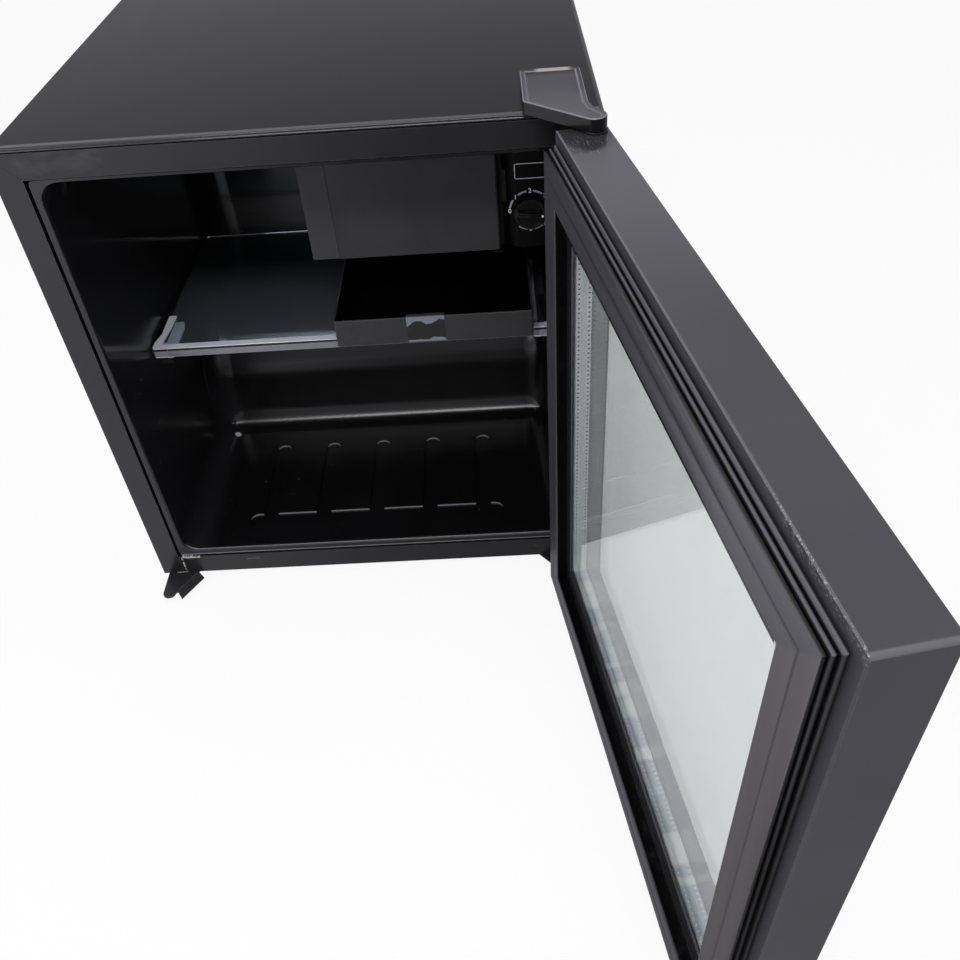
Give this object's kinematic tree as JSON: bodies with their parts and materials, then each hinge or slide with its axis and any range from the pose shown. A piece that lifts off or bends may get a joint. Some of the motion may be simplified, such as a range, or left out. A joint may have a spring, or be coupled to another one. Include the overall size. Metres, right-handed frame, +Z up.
{
  "type": "beverage refrigerator",
  "caption": "Table-top refrigerator with a side-hinged glazed door, a glass shelf, a drip tray under a small freezer box, a dial and a moulded liner.",
  "frame": {"origin": "on the floor under the middle of the whole object's bounding box, with the door standing open as pictured", "axes": "+X to the right across the cabinet's front, +Y from its front to its back, +Z up"},
  "size_m": [0.543, 0.899, 0.5032],
  "materials": {
    "black_painted_steel": "satin",
    "charcoal_top": "satin",
    "galvanised_steel": "satin",
    "bright_steel": "gloss",
    "gloss_black_plastic": "gloss",
    "satin_black_plastic": "satin",
    "matte_black_plastic": "matte",
    "smoked_flap_plastic": "gloss",
    "black_rubber": "matte",
    "clear_glass": "polished",
    "bright_aluminium": "satin",
    "grey_plastic": "satin",
    "white_plastic": "satin",
    "insulation_foam": "matte",
    "compressor_paint": "gloss",
    "copper": "gloss"
  },
  "bodies": {
    "cabinet": {"back_panel": "galvanised_steel", "base_pan": "galvanised_steel", "bottom_front_rail": "black_painted_steel", "compressor_mount_1": "black_rubber", "compressor_mount_2": "black_rubber", "compressor_mount_3": "black_rubber", "compressor_mount_4": "black_rubber", "compressor_plate": "galvanised_steel", "compressor_shell_lower": "compressor_paint", "compressor_shell_upper": "compressor_paint", "cord_gland": "black_rubber", "discharge_pipe": "copper", "evaporation_tray": "matte_black_plastic", "evaporator": "bright_aluminium", "filter_drier": "copper", "foam_insulation": "insulation_foam", "freezer_front_frame": "gloss_black_plastic", "freezer_hinge_pin": "bright_steel", "gland_bracket": "galvanised_steel", "hinge_pad": "matte_black_plastic", "hinge_screw_1": "bright_steel", "hinge_screw_2": "bright_steel", "inner_liner": "gloss_black_plastic", "left_foot_bracket": "black_painted_steel", "lower_hinge_bracket": "black_painted_steel", "lower_hinge_pin": "bright_steel", "machine_bay_panel": "galvanised_steel", "outer_wrap": "black_painted_steel", "rear_foot_left": "black_rubber", "rear_foot_right": "black_rubber", "relay_cover": "matte_black_plastic", "suction_pipe": "copper", "thermostat_body": "bright_steel", "thermostat_housing": "satin_black_plastic", "top_hinge_cover": "gloss_black_plastic", "top_hinge_pin": "bright_steel", "top_hinge_plate": "black_painted_steel", "top_panel": "charcoal_top"},
    "door": {"door_frame": "satin_black_plastic", "door_glazing_bead": "gloss_black_plastic", "door_glass_inner": "clear_glass", "door_glass_outer": "clear_glass", "door_spacer": "bright_aluminium", "door_gasket": "black_rubber", "door_top_bush": "matte_black_plastic", "door_bottom_bush": "matte_black_plastic"},
    "freezer_flap": {"freezer_flap": "smoked_flap_plastic", "freezer_flap_grip": "satin_black_plastic"},
    "shelf": {"shelf_glass": "clear_glass", "shelf_front_trim": "grey_plastic", "shelf_clip_left": "white_plastic", "shelf_clip_right": "white_plastic"},
    "drip_tray": {"drip_tray": "gloss_black_plastic"},
    "thermostat_knob": {"thermostat_knob": "matte_black_plastic"},
    "front_foot_left": {"front_foot_left": "matte_black_plastic"},
    "front_foot_right": {"front_foot_right": "matte_black_plastic"}
  },
  "joints": [
    {"name": "door_hinge", "type": "hinge", "parent": "cabinet", "child": "door", "pos_m": [0.18682, 0.00738, 0.2525], "axis": [0, 0, 1], "range_deg": [-99.34, 20.66]},
    {"name": "freezer_flap_hinge", "type": "hinge", "parent": "cabinet", "child": "freezer_flap", "pos_m": [0.11352, 0.14008, 0.39175], "axis": [0, 0, 1], "range_deg": [0, 95]},
    {"name": "shelf_slide", "type": "slide", "parent": "cabinet", "child": "shelf", "axis": [0, -1, 0], "range_m": [0, 0.1]},
    {"name": "drip_tray_slide", "type": "slide", "parent": "shelf", "child": "drip_tray", "axis": [0, -1, 0], "range_m": [-0.02, 0.04]},
    {"name": "thermostat_turn", "type": "hinge", "parent": "cabinet", "child": "thermostat_knob", "pos_m": [0.14382, 0.13788, 0.3671], "axis": [0, 1, 0], "range_deg": [-186, 84]},
    {"name": "front_foot_left_turn", "type": "hinge", "parent": "cabinet", "child": "front_foot_left", "pos_m": [-0.22748, 0.10588, 0.0125], "axis": [0, 0, 1], "range_deg": [-180, 180]},
    {"name": "front_foot_right_turn", "type": "hinge", "parent": "cabinet", "child": "front_foot_right", "pos_m": [0.15452, 0.10588, 0.0125], "axis": [0, 0, 1], "range_deg": [-180, 180]}
  ]
}
